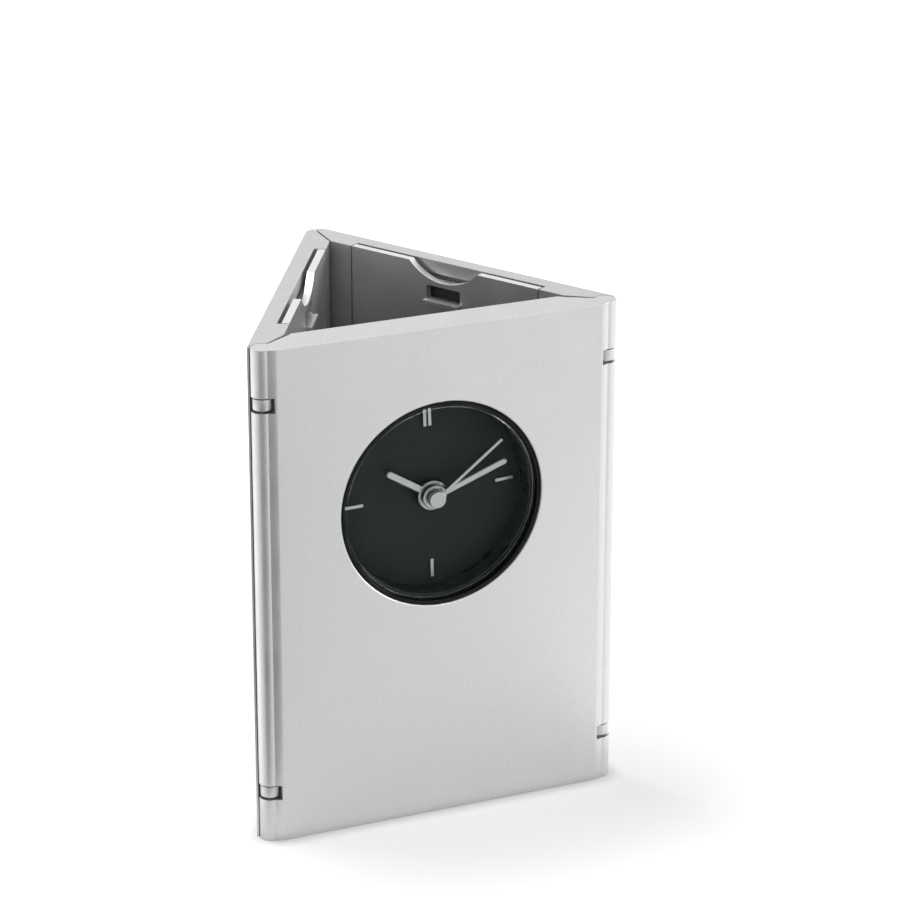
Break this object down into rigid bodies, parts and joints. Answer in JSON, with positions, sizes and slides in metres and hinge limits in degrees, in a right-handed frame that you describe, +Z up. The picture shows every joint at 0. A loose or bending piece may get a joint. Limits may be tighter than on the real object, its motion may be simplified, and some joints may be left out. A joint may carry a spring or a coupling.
{
  "type": "pen holder clock",
  "caption": "Folding triangular desk pen holder: a clock in the front panel and hinged picture-frame panels on both sides that swing open flat.",
  "frame": {"origin": "middle of the closed triangle's bounding box, on the surface it stands on", "axes": "+Z up along the panels, -Y out of the clock face, +X to the right as the clock is read"},
  "size_m": [0.0748, 0.0656, 0.1],
  "materials": {
    "silver": "satin silver lacquer on moulded plastic",
    "steel": "plain steel",
    "bright": "satin silver",
    "brass": "plain brass",
    "copper": "enamelled winding on a plastic bobbin",
    "black": "glossy black",
    "dial": "greenish black",
    "nylon": "natural nylon",
    "rubber": "soft black",
    "board": "green laminate",
    "card": "blank picture card",
    "clear": "clear acrylic"
  },
  "bodies": {
    "front_panel": {"front_shell": "silver", "front_back_cover": "silver", "left_lower_hinge_pin": "steel", "left_upper_hinge_pin": "steel", "right_lower_hinge_pin": "steel", "right_upper_hinge_pin": "steel", "cover_screw_1": "steel", "cover_screw_2": "steel", "cover_screw_3": "steel", "cover_screw_4": "steel", "clock_case": "black", "clock_clamp_ring": "rubber", "clock_lens": "clear", "dial_plate": "dial", "mark_12_left": "bright", "mark_12_right": "bright", "mark_3": "bright", "mark_6": "bright", "mark_9": "bright", "movement_plate": "nylon", "movement_housing": "black", "stator": "steel", "coil": "copper", "circuit_board": "board", "battery_cell": "steel", "battery_contact_minus": "steel", "battery_contact_plus": "steel"},
    "left_panel": {"left_frame": "silver", "left_window_sheet": "clear", "left_inner_cover": "silver", "left_lower_magnet": "steel", "left_upper_magnet": "steel"},
    "right_panel": {"right_frame": "silver", "right_window_sheet": "clear", "right_inner_cover": "silver", "right_lower_magnet": "steel", "right_upper_magnet": "steel"},
    "left_card": {"left_picture_card": "card"},
    "right_card": {"right_picture_card": "card"},
    "second_hand": {"second_hand": "bright", "second_wheel": "brass"},
    "minute_hand": {"minute_hand": "bright", "minute_pipe": "brass"},
    "hour_hand": {"hour_hand": "bright", "hour_wheel": "nylon"},
    "minute_wheel": {"minute_wheel": "nylon", "setting_knob": "black"},
    "centre_wheel": {"centre_wheel": "brass"},
    "third_wheel": {"third_wheel": "nylon"},
    "intermediate_wheel": {"intermediate_wheel": "nylon"},
    "rotor": {"rotor": "nylon", "rotor_magnet": "steel"},
    "battery_cover": {"battery_cover": "black"}
  },
  "joints": [
    {"name": "left_hinge", "type": "hinge", "parent": "front_panel", "child": "left_panel", "pos_m": [-0.03487, -0.03014, 0.05], "axis": [0, 0, 1], "range_deg": [0, 120]},
    {"name": "right_hinge", "type": "hinge", "parent": "front_panel", "child": "right_panel", "pos_m": [0.03487, -0.03014, 0.05], "axis": [0, 0, -1], "range_deg": [0, 120]},
    {"name": "left_card_slide", "type": "slide", "parent": "left_panel", "child": "left_card", "axis": [0, 0, 1], "range_m": [0, 0.08]},
    {"name": "right_card_slide", "type": "slide", "parent": "right_panel", "child": "right_card", "axis": [0, 0, 1], "range_m": [0, 0.08]},
    {"name": "minute_hand_turn", "type": "hinge", "parent": "front_panel", "child": "minute_hand", "pos_m": [0, -0.03, 0.0645], "axis": [0, 1, 0], "continuous": true},
    {"name": "hour_hand_turn", "type": "hinge", "parent": "front_panel", "child": "hour_hand", "pos_m": [0, -0.03, 0.0645], "axis": [0, 1, 0], "continuous": true},
    {"name": "minute_wheel_turn", "type": "hinge", "parent": "front_panel", "child": "minute_wheel", "pos_m": [-0.00495, -0.0236, 0.05955], "axis": [0, 1, 0], "continuous": true},
    {"name": "second_hand_turn", "type": "hinge", "parent": "front_panel", "child": "second_hand", "pos_m": [0, -0.03, 0.0645], "axis": [0, 1, 0], "continuous": true},
    {"name": "third_wheel_turn", "type": "hinge", "parent": "front_panel", "child": "third_wheel", "pos_m": [-0.00488, -0.0222, 0.06938], "axis": [0, 1, 0], "continuous": true},
    {"name": "centre_wheel_turn", "type": "hinge", "parent": "front_panel", "child": "centre_wheel", "pos_m": [0, -0.0227, 0.0645], "axis": [0, 1, 0], "continuous": true},
    {"name": "intermediate_wheel_turn", "type": "hinge", "parent": "front_panel", "child": "intermediate_wheel", "pos_m": [0.00509, -0.0206, 0.06959], "axis": [0, 1, 0], "continuous": true},
    {"name": "rotor_turn", "type": "hinge", "parent": "front_panel", "child": "rotor", "pos_m": [0.01069, -0.022, 0.06959], "axis": [0, 1, 0], "continuous": true},
    {"name": "battery_cover_turn", "type": "hinge", "parent": "front_panel", "child": "battery_cover", "pos_m": [0.00615, -0.0193, 0.05385], "axis": [0, 1, 0], "range_deg": [0, 30]}
  ],
  "couplings": [
    {"joint": "hour_hand_turn", "follows": "minute_hand_turn", "ratio": 0.083333},
    {"joint": "minute_wheel_turn", "follows": "minute_hand_turn", "ratio": -0.33333},
    {"joint": "intermediate_wheel_turn", "follows": "rotor_turn", "ratio": -0.16667},
    {"joint": "second_hand_turn", "follows": "rotor_turn", "ratio": 0.033333},
    {"joint": "third_wheel_turn", "follows": "rotor_turn", "ratio": -0.0044444},
    {"joint": "centre_wheel_turn", "follows": "rotor_turn", "ratio": 0.00055556}
  ]
}
